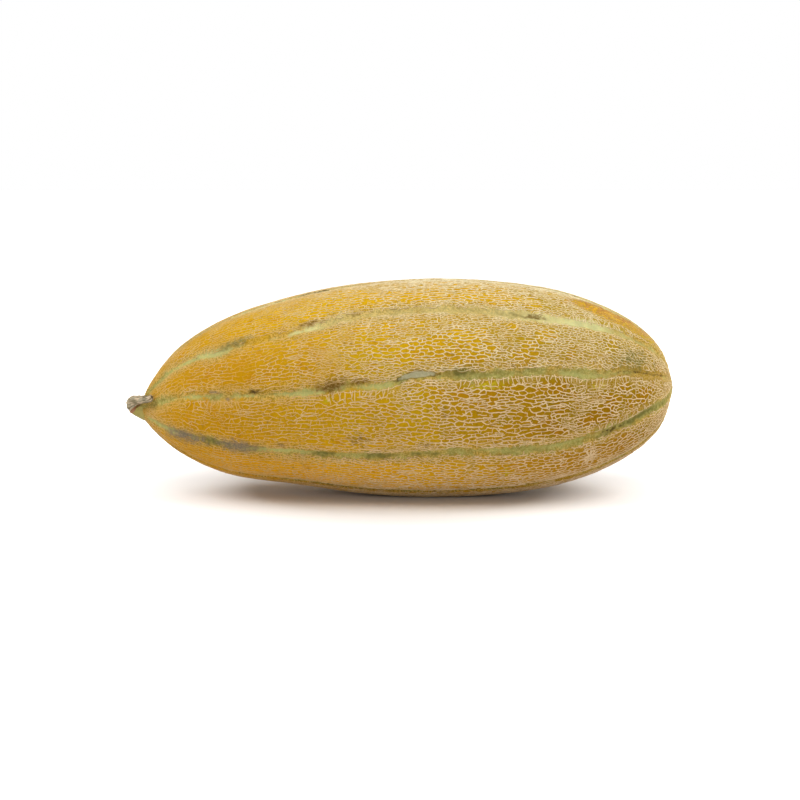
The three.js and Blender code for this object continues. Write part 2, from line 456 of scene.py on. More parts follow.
def lay_map(mesh, across, wrap):
    """Gives the mesh the map that its pattern is kept in: along the fruit, and across.

    Where the map wraps round the fruit, the faces over its join are drawn on past its far side.
    """
    places = np.empty(len(mesh.vertices) * 3, np.float32)
    mesh.vertices.foreach_get("co", places)
    places = places.reshape(-1, 3)
    corner = np.empty(len(mesh.loops), np.int32)
    mesh.loops.foreach_get("vertex_index", corner)
    u = (places[:, 0] / MM - TIP_X) / FRUIT_LENGTH
    flat = np.stack([u[corner], across[corner]], -1)
    if wrap:
        first = np.empty(len(mesh.polygons), np.int32)
        mesh.polygons.foreach_get("loop_start", first)
        count = np.empty(len(mesh.polygons), np.int32)
        mesh.polygons.foreach_get("loop_total", count)
        face = np.repeat(np.arange(len(first)), count)
        top = np.maximum.reduceat(flat[:, 1], first)[face]
        flat[:, 1] += (top - flat[:, 1] > 0.5) * 1.0
    layer = mesh.uv_layers.new(name="OFBake")
    layer.data.foreach_set("uv", np.clip(0.005 + 0.985 * flat, 0, 1).astype(np.float32).ravel())


def background_rays(tree):
    """1 for the rays that see the white background: the camera's own, and those by way of gloss and glass."""
    rays = add(tree, "ShaderNodeLightPath")
    seen = rays.outputs["Is Camera Ray"]
    for ray in ("Is Glossy Ray", "Is Transmission Ray"):
        seen = add(tree, "ShaderNodeMath", {0: seen, 1: rays.outputs[ray]}, operation="MAXIMUM")
    return seen


def faced(thing, place, aim):
    """Puts a camera or a lamp in the scene, facing a point."""
    thing.location = place
    thing.rotation_euler = (Vector(aim) - Vector(place)).to_track_quat("-Z", "Y").to_euler()
    bpy.context.scene.collection.objects.link(thing)
    return thing


class MELON_OT_stage(bpy.types.Operator):
    """Sets the camera, the soft light and the pale floor"""

    bl_idname = "melon.stage"
    bl_label = "Stage"

    def execute(self, context):
        settings = context.scene.melon_stage
        low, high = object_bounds()
        camera = bpy.data.objects.new("camera", bpy.data.cameras.new("camera"))
        camera.data.lens = 100
        camera.data.sensor_width = 36
        camera.data.clip_start = 0.05
        back = Vector((0, -math.cos(settings.elevation), math.sin(settings.elevation)))
        context.scene.camera = faced(camera, CAMERA_AIM + back * settings.distance, CAMERA_AIM)
        self.floor(context)
        self.lamps(context, (low + high) / 2)
        context.scene.view_settings.view_transform = "Standard"
        return {"FINISHED"}

    def floor(self, context):
        """A matt white board that glows white to the camera, but for the oval that holds the shadow."""
        side = 6.0
        mesh = bpy.data.meshes.new("floor")
        corners = [(-side, -side, 0), (side, -side, 0), (side, side, 0), (-side, side, 0)]
        mesh.from_pydata(corners, [], [(0, 1, 2, 3)])
        floor = bpy.data.objects.new("floor", mesh)
        material, tree, shader = new_material("Matt white board")
        place = add(tree, "ShaderNodeTexCoord").outputs["Object"]
        moved = add(tree, "ShaderNodeVectorMath", {0: place, 1: (0, 0.035, 0)}, operation="SUBTRACT")
        oval = add(tree, "ShaderNodeVectorMath", {0: moved, 1: (1.17, 1, 0)}, operation="MULTIPLY")
        away = add(tree, "ShaderNodeVectorMath", {0: oval}, operation="LENGTH")
        glow = add(tree, "ShaderNodeMapRange", {
            "Value": away.outputs["Value"], "From Min": 0.1, "From Max": 0.25})
        shown = add(tree, "ShaderNodeMath", {0: background_rays(tree), 1: glow}, operation="MULTIPLY")
        shader.inputs["Base Color"].default_value = linear("#E7E4E2")
        shader.inputs["Roughness"].default_value = 0.9
        shader.inputs["Emission Color"].default_value = (1, 1, 1, 1)
        tree.links.new(shown.outputs[0], shader.inputs["Emission Strength"])
        mesh.materials.append(material)
        context.scene.collection.objects.link(floor)
        floor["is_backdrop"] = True

    def lamps(self, context, middle):
        """Soft boxes on the left, on the right and in front, in a room that is white to the camera."""
        world = bpy.data.worlds.new("studio")
        world.use_nodes = True
        tree = world.node_tree
        fill = add(tree, "ShaderNodeBackground", {"Color": (1, 0.88, 0.76, 1), "Strength": 0.23})
        white = add(tree, "ShaderNodeBackground", {"Color": (1, 1, 1, 1), "Strength": 1})
        mixed = add(tree, "ShaderNodeMixShader", {0: background_rays(tree), 1: fill, 2: white})
        tree.links.new(mixed.outputs[0], tree.nodes["World Output"].inputs["Surface"])
        context.scene.world = world
        for name, place, size, power in (
            ("left box", (-0.8, -0.2, 0.8), (0.6, 0.6), 7.6),
            ("right box", (0.8, -0.2, 0.8), (0.6, 0.6), 7.0),
            ("right edge", (0.9, 0.5, 0.3), (0.8, 0.4), 2.0),
            ("front", (0, -1.6, 0.5), (1.6, 0.5), 6.9),
        ):
            lamp = bpy.data.lights.new(name, "AREA")
            lamp.shape = "RECTANGLE"
            lamp.size, lamp.size_y = size
            lamp.energy = power
            faced(bpy.data.objects.new(name, lamp), place, middle)


class MELON_OT_rind(bpy.types.Operator):
    """Builds the ribbed rind, with its seams and its stains as fields on the mesh"""

    bl_idname = "melon.rind"
    bl_label = "Rind"

    def execute(self, context):
        settings = context.scene.melon_rind
        rows, angle, faces = self.grid(settings)
        marks = marks_at(rows, angle)
        place, to_seam = on_rind(rows, angle, settings.depth / MM - 0.3 * marks["scar"])
        mesh = bpy.data.meshes.new("rind")
        mesh.from_pydata(place * MM, [], faces)
        mesh.materials.append(rind_material(settings))
        store_marks(mesh, marks)
        store(mesh, "seam_mm", to_seam)
        store(mesh, "grain", grain(place, to_seam, rows[:, 0]))
        store(mesh, "comb", combed(rows[:, 0], angle))
        store(mesh, "overgrown", marks["overgrown"])
        # The same corners on a ball, on which the net's cells are laid out.
        level = 2 * rows[:, 0] / FRUIT_LENGTH - 1
        hoop = np.sqrt(np.maximum(1 - level**2, 0))
        store(mesh, "ball", np.stack([level, -hoop * np.cos(angle), hoop * np.sin(angle)], -1))
        lay_map(mesh, np.mod(angle - angle.min(), 2 * np.pi) / (2 * np.pi), True)
        piece = finished(bpy.data.objects.new("rind", mesh))
        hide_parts("fruit")
        return {"FINISHED"}

    def grid(self, settings):
        """The rind's corners, as rows of the outline and angles, and its faces."""
        rings, columns = settings.rings, len(SEAMS) * settings.columns
        rows = rows_at(np.linspace(0, OUTLINE[-1, TRAVELLED], rings + 1), TRAVELLED)
        seams = seam_angles(rows[:, 0], rows[:, 1])
        # The columns follow the seams, and crowd towards them.
        step = np.arange(settings.columns) / settings.columns
        step = step - 0.5 * np.sin(2 * np.pi * step) / (2 * np.pi)
        angle = seams[:-1, None] + (seams[1:] - seams[:-1])[:, None] * step[None, :, None]
        angle = angle.reshape(columns, -1).T.ravel()
        # The first and last rings have no width, so each is one corner.
        keep = np.concatenate([[0], np.arange(columns, rings * columns + 1)])
        index = np.arange((rings + 1) * columns).reshape(-1, columns)
        index[0] = 0
        index[1:] -= columns - 1
        index[-1] = index[-1, 0]
        beside = np.roll(index, -1, 1)
        faces = np.stack([index[1:], beside[1:], beside[:-1], index[:-1]], -1).reshape(-1, 4)
        faces = [tuple(dict.fromkeys(face)) for face in faces.tolist()]
        return np.repeat(rows, columns, axis=0)[keep], angle[keep], faces


def kept_marks(tree):
    """The stains and the patches that are kept on a mesh, each split into its three kinds."""
    fields = [add(tree, "ShaderNodeAttribute", attribute_name=name) for name in ("stain", "patch")]
    return [add(tree, "ShaderNodeSeparateXYZ", {0: field.outputs["Vector"]}) for field in fields]


def ragged_mask(tree, mark, spot, grit, least, most, strength):
    """Where a mark shows, with an edge that is made ragged by two sizes of noise."""
    rough = add(tree, "ShaderNodeMath", {0: spot, 1: 1.4, 2: mark}, operation="MULTIPLY_ADD")
    rougher = add(tree, "ShaderNodeMath", {0: grit, 1: 1.2, 2: rough}, operation="MULTIPLY_ADD")
    return add(tree, "ShaderNodeMapRange", {
        "Value": rougher, "From Min": least, "From Max": most, "To Max": strength})


def rind_fields(tree):
    """What the rind's colours follow: its place, noise, and the fields that are kept on its mesh."""
    place = add(tree, "ShaderNodeTexCoord").outputs["Object"]
    split = add(tree, "ShaderNodeSeparateXYZ", {0: place})
    stain, patch = kept_marks(tree)
    seam, fine, comb, overgrown = (
        add(tree, "ShaderNodeAttribute", attribute_name=name).outputs["Fac"]
        for name in ("seam_mm", "grain", "comb", "overgrown")
    )
    # Scales are waves to the metre: 25 is 40 mm, 85 is 12 mm, 110 is 9 mm, 160 is 6 mm, 450 is 2.2 mm and
    # 1100 is 0.9 mm.
    broad, mottle, ragged, blotch, spot, grit = (
        add(tree, "ShaderNodeTexNoise", {
            "Vector": place, "Scale": scale, "Detail": detail, "Roughness": rough})
        for scale, detail, rough in (
            (25, 2, 0.5), (85, 3, 0.6), (110, 4, 0.7), (160, 3, 0.5), (450, 2, 0.5), (1100, 2, 0.6))
    )
    # 0 on the fruit's sides and 1 on its top.
    height = add(tree, "ShaderNodeMapRange", {
        "Value": split.outputs["Z"], "From Min": 0.076, "From Max": 0.106})
    return SimpleNamespace(
        place=place, x=split.outputs["X"], z=split.outputs["Z"], height=height, stain=stain, patch=patch,
        seam=seam, fine=fine, comb=comb, overgrown=overgrown, broad=broad, mottle=mottle, ragged=ragged,
        blotch=blotch, spot=spot, grit=grit)


def skin_coats(tree, look):
    """The skin's changes of colour over the fruit and in its cells, each as where it shows and its colour."""
    stem_end = add(tree, "ShaderNodeMapRange", {
        "Value": look.x, "From Min": -0.09, "From Max": -0.02, "To Min": 0.8, "To Max": 0})
    # Painted shade: the skin is darker and more olive towards the blossom end, less so on top, for the shade
    # between the ridges there.
    blossom_end_shade = add(tree, "ShaderNodeMapRange", {
        "Value": look.x, "From Min": 0.0, "From Max": 0.09, "To Max": 0.9})
    shade_by_height = add(tree, "ShaderNodeMapRange", {"Value": look.height, "To Min": 1, "To Max": 0.4})
    blossom_end_shade = add(tree, "ShaderNodeMath", {0: blossom_end_shade, 1: shade_by_height}, operation="MULTIPLY")
    # Painted light: the skin is a brighter yellow on top, as if lit from above.
    top = add(tree, "ShaderNodeMath", {0: look.height, 1: 0.7}, operation="MULTIPLY")
    far_top = add(tree, "ShaderNodeMapRange", {
        "Value": look.x, "From Min": 0.05, "From Max": 0.11, "To Max": 0.6})
    far_top = add(tree, "ShaderNodeMath", {0: far_top, 1: look.height}, operation="MULTIPLY")
    # The fruit is paler underneath, where it lay on the ground.
    ground = add(tree, "ShaderNodeMapRange", {
        "Value": look.z, "From Min": 0.006, "From Max": 0.042, "To Min": 0.85, "To Max": 0})
    ripe = add(tree, "ShaderNodeMapRange", {
        "Value": look.x, "From Min": -0.03, "From Max": 0.07, "To Min": 1, "To Max": 0.45})
    ground = add(tree, "ShaderNodeMath", {0: ground, 1: ripe}, operation="MULTIPLY")
    # The skin is darker and greener in the small cells, most of all towards the blossom end.
    small = add(tree, "ShaderNodeMapRange", {
        "Value": look.fine, "From Min": 0.35, "From Max": 0.8, "To Max": 0.5})
    greener = add(tree, "ShaderNodeMapRange", {
        "Value": look.x, "From Min": -0.04, "From Max": 0.06, "To Min": 0.2, "To Max": 1})
    small = add(tree, "ShaderNodeMath", {0: small, 1: greener}, operation="MULTIPLY")
    burnt = add(tree, "ShaderNodeMapRange", {
        "Value": look.blotch, "From Min": 0.52, "From Max": 0.72, "To Max": 0.35})
    speck = add(tree, "ShaderNodeMapRange", {
        "Value": look.spot, "From Min": 0.6, "From Max": 0.72, "To Max": 0.35})
    fresh = ragged_mask(tree, look.patch.outputs["Y"], look.spot, look.grit, 1.62, 2.2, 0.92)
    fresh_skin = add(tree, "ShaderNodeMix", {
        "Factor": look.height, "A": linear("#BCAA20"), "B": linear("#DEA81E")}, data_type="RGBA")
    # A finer web of cork, with cells 1.4 mm wide, lies between the ridges where the net is fine.
    drawn = add(tree, "ShaderNodeVectorMath", {0: look.place, 1: (430, 720, 720)}, operation="MULTIPLY")
    borders = add(tree, "ShaderNodeTexVoronoi", {"Vector": drawn, "Scale": 1.0}, feature="DISTANCE_TO_EDGE")
    web = add(tree, "ShaderNodeMapRange", {
        "Value": borders, "From Min": 0.04, "From Max": 0.2, "To Min": 1, "To Max": 0})
    where = add(tree, "ShaderNodeMapRange", {
        "Value": look.fine, "From Min": 0.75, "From Max": 1.2, "To Max": 0.35})
    web = add(tree, "ShaderNodeMath", {0: web, 1: where}, operation="MULTIPLY")
    return {
        "stem end": (stem_end, linear("#BF8A00")), "far end": (blossom_end_shade, linear("#946A00")),
        "ground": (ground, linear("#E8A80E")), "top": (top, linear("#DCAE10")),
        "far top": (far_top, linear("#B4A038")), "small cells": (small, linear("#907A0E")),
        "burnt": (burnt, linear("#B87406")), "speck": (speck, linear("#8A5E18")),
        "fresh": (fresh, fresh_skin), "web": (web, linear("#D6BA80")),
    }


def seam_coats(tree, look, seam_colour):
    """The green seams, with a ragged edge, and the granular margin of cork and green beside them."""
    # How far out the green reaches, in millimetres: further on top, and towards the blossom end.
    edge = add(tree, "ShaderNodeMapRange", {
        "Value": look.ragged, "From Min": 0.34, "From Max": 0.66, "To Min": 0.5, "To Max": 4.2})
    edge = add(tree, "ShaderNodeMath", {0: look.height, 1: 1.2, 2: edge}, operation="MULTIPLY_ADD")
    wider = add(tree, "ShaderNodeMapRange", {
        "Value": look.x, "From Min": 0.01, "From Max": 0.05, "To Max": 0.8})
    edge = add(tree, "ShaderNodeMath", {0: edge, 1: wider}, operation="ADD")
    # Cork has grown over some lengths of the seams, which narrows the green or hides it.
    edge = add(tree, "ShaderNodeMath", {0: look.overgrown, 1: -4.0, 2: edge}, operation="MULTIPLY_ADD")
    gap = add(tree, "ShaderNodeMath", {0: look.seam, 1: edge}, operation="SUBTRACT")
    frayed = add(tree, "ShaderNodeMath", {0: look.grit, 1: 4.0, 2: -2.0}, operation="MULTIPLY_ADD")
    frayed = add(tree, "ShaderNodeMath", {0: look.spot, 1: 3.0, 2: frayed}, operation="MULTIPLY_ADD")
    gap = add(tree, "ShaderNodeMath", {0: gap, 1: frayed}, operation="ADD")
    gap = add(tree, "ShaderNodeMath", {0: gap, 1: 1.5}, operation="SUBTRACT")
    band = add(tree, "ShaderNodeMapRange", {
        "Value": gap, "From Min": -1.6, "From Max": 0.9, "To Min": 1, "To Max": 0})

    # The green comes and goes along a seam, but for its mint lengths.
    patchy = add(tree, "ShaderNodeMapRange", {
        "Value": look.mottle, "From Min": 0.34, "From Max": 0.52, "To Min": 0.45})
    mint = add(tree, "ShaderNodeMath", {
        0: look.blotch, 1: 0.8, 2: look.patch.outputs["Z"]}, operation="MULTIPLY_ADD")
    mint = add(tree, "ShaderNodeMapRange", {"Value": mint, "From Min": 0.72, "From Max": 1.05})
    patchy = add(tree, "ShaderNodeMath", {0: patchy, 1: mint}, operation="MAXIMUM")
    # The seams on top are faint in the middle of the fruit.
    from_middle = add(tree, "ShaderNodeMath", {0: look.x, 1: 0.01}, operation="SUBTRACT")
    from_middle = add(tree, "ShaderNodeMath", {0: from_middle}, operation="ABSOLUTE")
    faint = add(tree, "ShaderNodeMapRange", {
        "Value": from_middle, "From Min": 0.035, "From Max": 0.07, "To Min": -0.55, "To Max": 0})
    faint = add(tree, "ShaderNodeMath", {0: faint, 1: look.height, 2: 1.0}, operation="MULTIPLY_ADD")
    patchy = add(tree, "ShaderNodeMath", {0: patchy, 1: faint}, operation="MULTIPLY")
    green = add(tree, "ShaderNodeMath", {0: band, 1: patchy}, operation="MULTIPLY")

    margin = add(tree, "ShaderNodeMapRange", {
        "Value": gap, "From Min": 0.2, "From Max": 5.0, "To Min": 0.92, "To Max": 0})
    margin = add(tree, "ShaderNodeMath", {
        0: look.comb, 1: -0.85, 2: margin}, operation="MULTIPLY_ADD", use_clamp=True)
    grains = add(tree, "ShaderNodeMapRange", {"Value": look.grit, "From Min": 0.44, "From Max": 0.56})
    granular = add(tree, "ShaderNodeMix", {
        "Factor": grains, "A": linear("#9E7C1E"), "B": linear("#CEAE60")}, data_type="RGBA")

    olive = add(tree, "ShaderNodeMapRange", {
        "Value": look.spot, "From Min": 0.42, "From Max": 0.62, "To Max": 0.7})
    sandy = add(tree, "ShaderNodeMapRange", {
        "Value": look.grit, "From Min": 0.5, "From Max": 0.66, "To Max": 0.45})
    # Painted light: the mint lengths are paler on top, as if lit from above.
    paler = add(tree, "ShaderNodeMix", {
        "Factor": look.height, "A": linear("#B6B66E"), "B": linear("#DEDCA0")}, data_type="RGBA")
    # Painted light: the seam is paler on top, as if lit from above.
    colour = seam_colour
    for factor, over in (
        (olive, linear("#867C36")), (look.height, linear("#D8D092")), (mint, paler),
        (sandy, linear("#CDB878")),
    ):
        colour = add(tree, "ShaderNodeMix", {"Factor": factor, "A": colour, "B": over}, data_type="RGBA")
    dim = add(tree, "ShaderNodeMapRange", {
        "Value": look.blotch, "From Min": 0.45, "From Max": 0.62, "To Min": 1, "To Max": 0.84})
    colour = add(tree, "ShaderNodeMix", {
        "Factor": 1.0, "A": colour, "B": dim}, data_type="RGBA", blend_type="MULTIPLY")
    return {"margin": (margin, granular), "green": (green, colour)}


def stain_coats(tree, look):
    """The olive, brown and dark stains, and the clean-edged scars with their dark outline."""
    olive, brown, dark = (
        ragged_mask(tree, look.stain.outputs[axis], look.spot, look.grit, 1.62, 2.2, 0.92) for axis in "YXZ")
    # The olive stains are real; their paler colour on top is painted light from above.
    olive_stain_lit_on_top = add(tree, "ShaderNodeMix", {
        "Factor": look.height, "A": linear("#6C6834"), "B": linear("#8E8450")}, data_type="RGBA")
    # The brown stains are greyer towards the stem, and flecked with cork.
    yellower = add(tree, "ShaderNodeMapRange", {"Value": look.x, "From Min": -0.085, "From Max": -0.065})
    stained = add(tree, "ShaderNodeMix", {
        "Factor": yellower, "A": linear("#7E7262"), "B": linear("#684C16")}, data_type="RGBA")
    flecks = add(tree, "ShaderNodeMapRange", {
        "Value": look.grit, "From Min": 0.5, "From Max": 0.62, "To Max": 0.5})
    stained = add(tree, "ShaderNodeMix", {
        "Factor": flecks, "A": stained, "B": linear("#B49A68")}, data_type="RGBA")
    clean = add(tree, "ShaderNodeMath", {
        0: look.spot, 1: 0.5, 2: look.patch.outputs["X"]}, operation="MULTIPLY_ADD")
    scar = add(tree, "ShaderNodeMapRange", {
        "Value": clean, "From Min": 0.8, "From Max": 0.95, "To Max": 0.92})
    outline_of_scar = add(tree, "ShaderNodeMapRange", {
        "Value": clean, "From Min": 0.64, "From Max": 0.8, "To Max": 0.6})
    return {
        "olive": (olive, olive_stain_lit_on_top), "brown": (brown, stained), "dark": (dark, linear("#382A15")),
        "scar outline": (outline_of_scar, linear("#4C3C20")), "scar": (scar, linear("#B2AE8C")),
    }


def rind_material(settings):
    """Ripe melon rind: thin waxy skin, satin, deep yellow to orange, with matt green seams and stains."""
    material, tree, shader = new_material("Ripe melon rind")
    look = rind_fields(tree)
    warm = add(tree, "ShaderNodeMapRange", {"Value": look.broad, "From Min": 0.35, "From Max": 0.65})
    colour = add(tree, "ShaderNodeMix", {
        "Factor": warm, "A": settings.skin[:], "B": linear("#C59E04")}, data_type="RGBA")
    coats = {**skin_coats(tree, look), **seam_coats(tree, look, settings.seam[:]), **stain_coats(tree, look)}
    for factor, over in coats.values():
        colour = add(tree, "ShaderNodeMix", {"Factor": factor, "A": colour, "B": over}, data_type="RGBA")
    light = add(tree, "ShaderNodeMapRange", {
        "Value": look.grit, "From Min": 0.3, "From Max": 0.7, "To Min": 0.86, "To Max": 1.12})
    colour = add(tree, "ShaderNodeMix", {
        "Factor": 1.0, "A": colour, "B": light}, data_type="RGBA", blend_type="MULTIPLY")
    tree.links.new(result(colour), shader.inputs["Base Color"])

    matt = add(tree, "ShaderNodeMath", {0: coats["green"][0], 1: coats["brown"][0]}, operation="MAXIMUM")
    roughness = add(tree, "ShaderNodeMapRange", {"Value": matt, "To Min": 0.46, "To Max": 0.8})
    tree.links.new(roughness.outputs[0], shader.inputs["Roughness"])
    relief = add(tree, "ShaderNodeMath", {0: look.grit, 1: look.spot}, operation="ADD")
    bump = add(tree, "ShaderNodeBump", {"Strength": 0.5, "Distance": 0.25 * MM, "Height": relief})
    tree.links.new(bump.outputs[0], shader.inputs["Normal"])
    shader.inputs["IOR"].default_value = 1.45
    shader.inputs["Specular IOR Level"].default_value = 0.05
    return material


class MELON_OT_netting(bpy.types.Operator):
    """Grows the cork netting on the rind"""

    bl_idname = "melon.netting"
    bl_label = "Netting"

    def execute(self, context):
        settings = context.scene.melon_net
        depth = context.scene.melon_rind.depth / MM
        radius = FRUIT_WIDTH / 2 * MM
        cells = grown(context, bpy.data.objects["rind"].data, cells_tree(), {
            "Spacing": settings.cell / radius, "Middle spacing": settings.middle_cell / radius,
            "Fine spacing": settings.fine_cell / radius, "Seed": settings.seed})
        corners = np.array([v.co for v in cells.vertices])
        edges = np.array([e.vertices for e in cells.edges])
        bpy.data.meshes.remove(cells)
        net = strands(corners, edges, settings)
        chance = np.random.default_rng(settings.seed + 1)
        for more in (cracks, combs, star):
            net = more(net, settings.line / MM, chance)
        along, angle, half, edges = net
        tree = ridge_tree(cork_material(settings))
        steepness = 2 * settings.height / settings.line
        middle = np.angle(np.exp(1j * angle[edges]).sum(1))
        sector = np.clip(np.floor((middle + np.pi) / (2 * np.pi) * SECTORS), 0, SECTORS - 1)
        for number in range(SECTORS):
            used, lines = np.unique(edges[sector == number], return_inverse=True)
            mesh = self.lines(along[used], angle[used], half[used], lines.reshape(-1, 2), depth)
            self.piece(number, grown(context, mesh, tree, {"Height": steepness}))
            bpy.data.meshes.remove(mesh)
        return {"FINISHED"}

    def lines(self, along, angle, half, lines, depth):
        """A mesh of bare lines on the rind, with the fields that the ridges and their colours need."""
        rows = rows_at(along, ALONG)
        place, _ = on_rind(rows, angle, depth)
        mesh = bpy.data.meshes.new("lines")
        mesh.from_pydata(place * MM, lines, [])
        store(mesh, "up", np.stack([rows[:, 4], -rows[:, 5] * np.cos(angle), rows[:, 5] * np.sin(angle)], -1))
        store(mesh, "half", half * MM)
        store_marks(mesh, marks_at(rows, angle))
        return mesh

    def piece(self, number, net):
        """Makes one sector of the net a piece, with its map."""
        net.name = f"cork_net_{number + 1}"
        for name in ("up", "half"):
            net.attributes.remove(net.attributes[name])
        places = np.array([v.co for v in net.vertices])
        turn = (np.arctan2(places[:, 2] / MM - AXIS_Z, -places[:, 1] / MM) + np.pi) / (2 * np.pi)
        across = np.mod(turn * SECTORS - number + SECTORS / 2, SECTORS) - SECTORS / 2
        # A line may stand a little over its sector's edges, so the sector leaves a margin on its map.
        lay_map(net, 0.06 + 0.88 * across, False)
        finished(bpy.data.objects.new(net.name, net))


def made_real(context, holder):
    """The plain mesh that an object's modifiers make. The object is removed."""
    context.scene.collection.objects.link(holder)
    made = bpy.data.meshes.new_from_object(holder.evaluated_get(context.evaluated_depsgraph_get()))
    bpy.data.objects.remove(holder)
    return made


def grown(context, mesh, tree, values):
    """The mesh that a Geometry Nodes tree makes from another, with values for its named inputs."""
    holder = bpy.data.objects.new("holder", mesh)
    modifier = holder.modifiers.new("grow", "NODES")
    modifier.node_group = tree
    for item in tree.interface.items_tree:
        if item.name in values:
            modifier[item.identifier] = values[item.name]
    return made_real(context, holder)


def new_tree(name, inputs):
    """An empty Geometry Nodes tree with named inputs, and the outputs that give their values."""
    tree = bpy.data.node_groups.new(name, "GeometryNodeTree")
    for label, kind in (("Geometry", "Geometry"), *inputs):
        tree.interface.new_socket(label, in_out="INPUT", socket_type=f"NodeSocket{kind}")
    tree.interface.new_socket("Geometry", in_out="OUTPUT", socket_type="NodeSocketGeometry")
    return tree, tree.nodes.new("NodeGroupInput").outputs


def cells_tree():
    """Cells laid out on a ball: scatters of points, wide to fine, and the borders between them."""
    tree, given = new_tree("Net cells", (
        ("Spacing", "Float"), ("Middle spacing", "Float"), ("Fine spacing", "Float"), ("Seed", "Int")))
    ball = add(tree, "GeometryNodeInputNamedAttribute", {"Name": "ball"}, data_type="FLOAT_VECTOR")
    grain = add(tree, "GeometryNodeInputNamedAttribute", {"Name": "grain"}, data_type="FLOAT")
    here = add(tree, "GeometryNodeInputPosition")
    sites = add(tree, "GeometryNodeJoinGeometry")
    # The ball is drawn out while it is scattered on, and the more it is, the shorter the cells come out.
    for spacing, drawn, least, most in (
        (given["Spacing"], 1.3, -9.0, MIDDLE_GRAIN),
        (given["Middle spacing"], 1.85, MIDDLE_GRAIN, FINE_GRAIN),
        (given["Fine spacing"], 2.0, FINE_GRAIN, 9.0),
    ):
        above = add(tree, "ShaderNodeMath", {0: grain, 1: least}, operation="GREATER_THAN")
        below = add(tree, "ShaderNodeMath", {0: grain, 1: most}, operation="LESS_THAN")
        factor = add(tree, "ShaderNodeMath", {0: above, 1: below}, operation="MULTIPLY")
        longer = add(tree, "ShaderNodeVectorMath", {0: ball, 1: (drawn, 1, 1)}, operation="MULTIPLY")
        globe = add(tree, "GeometryNodeSetPosition", {"Geometry": given["Geometry"], "Position": longer})
        points = add(tree, "GeometryNodeDistributePointsOnFaces", {
            "Mesh": globe, "Distance Min": spacing, "Density Max": 9000, "Density Factor": factor,
            "Seed": given["Seed"],
        }, distribute_method="POISSON")
        shorter = add(tree, "ShaderNodeVectorMath", {0: here, 1: (1 / drawn, 1, 1)}, operation="MULTIPLY")
        back = add(tree, "GeometryNodeSetPosition", {
            "Geometry": points.outputs["Points"], "Position": shorter})
        tree.links.new(back.outputs[0], sites.inputs[0])
    outward = add(tree, "ShaderNodeVectorMath", {0: here}, operation="NORMALIZE")
    round_sites = add(tree, "GeometryNodeSetPosition", {"Geometry": sites, "Position": outward})
    hull = add(tree, "GeometryNodeConvexHull", {"Geometry": round_sites})
    cells = add(tree, "GeometryNodeDualMesh", {"Mesh": hull})
    realised = add(tree, "GeometryNodeRealizeInstances", {"Geometry": cells})
    add(tree, "NodeGroupOutput", {0: realised})
    return tree


def ridge_tree(material):
    """Sweeps lines into low ridges of cork that stand on the rind."""
    tree, given = new_tree("Cork ridges", (("Height", "Float"),))
    up = add(tree, "GeometryNodeInputNamedAttribute", {"Name": "up"}, data_type="FLOAT_VECTOR")
    half = add(tree, "GeometryNodeInputNamedAttribute", {"Name": "half"}, data_type="FLOAT")
    lines = add(tree, "GeometryNodeMeshToCurve", {"Mesh": given["Geometry"]})
    upright = add(tree, "GeometryNodeSetCurveNormal", {"Curve": lines, "Normal": up}, mode="FREE")
    # The section is a ridge with its crest up and its two feet under the skin.
    triangle = add(tree, "GeometryNodeCurvePrimitiveCircle", {"Resolution": 3, "Radius": 1.0})
    shape = add(tree, "ShaderNodeCombineXYZ", {"X": given["Height"], "Y": 1.15, "Z": 1.0})
    point = add(tree, "ShaderNodeSeparateXYZ", {0: add(tree, "GeometryNodeInputPosition")})
    marked = add(tree, "GeometryNodeStoreNamedAttribute", {
        "Geometry": triangle, "Name": "crest", "Value": point.outputs["X"],
    }, data_type="FLOAT", domain="POINT")
    section = add(tree, "GeometryNodeTransform", {"Geometry": marked, "Scale": shape})
    swept = add(tree, "GeometryNodeCurveToMesh", {
        "Curve": upright, "Profile Curve": section, "Scale": half, "Fill Caps": True})
    here = add(tree, "GeometryNodeInputPosition")
    # Nothing goes through the floor, or past the fruit's widest place.
    far, side = 9, CAD_BOX[1].y - 0.01 * MM
    lowest = add(tree, "ShaderNodeVectorMath", {
        0: here, 1: (-far, -side, NET_LIFT * MM)}, operation="MAXIMUM")
    inside = add(tree, "ShaderNodeVectorMath", {0: lowest, 1: (far, side, CAD_BOX[1].z)}, operation="MINIMUM")
    grounded = add(tree, "GeometryNodeSetPosition", {"Geometry": swept, "Position": inside})
    realised = add(tree, "GeometryNodeRealizeInstances", {"Geometry": grounded})
    painted = add(tree, "GeometryNodeSetMaterial", {"Geometry": realised, "Material": material})
    add(tree, "NodeGroupOutput", {0: painted})
    return tree


def on_length(along):
    """Distances along the fruit, kept off its very tips."""
    return np.clip(along, TIP_MARGIN, FRUIT_LENGTH - TIP_MARGIN)


def to_fruit(along, angle):
    """Places on the fruit's smooth form, in millimetres from its tip and its axis."""
    radius = rows_at(along, ALONG)[:, 1]
    return np.stack([along, -radius * np.cos(angle), radius * np.sin(angle)], -1)


def from_fruit(place):
    """How far along the fruit places near its smooth form are, and at what angle."""
    return on_length(place[:, 0]), np.arctan2(place[:, 2], -place[:, 1])


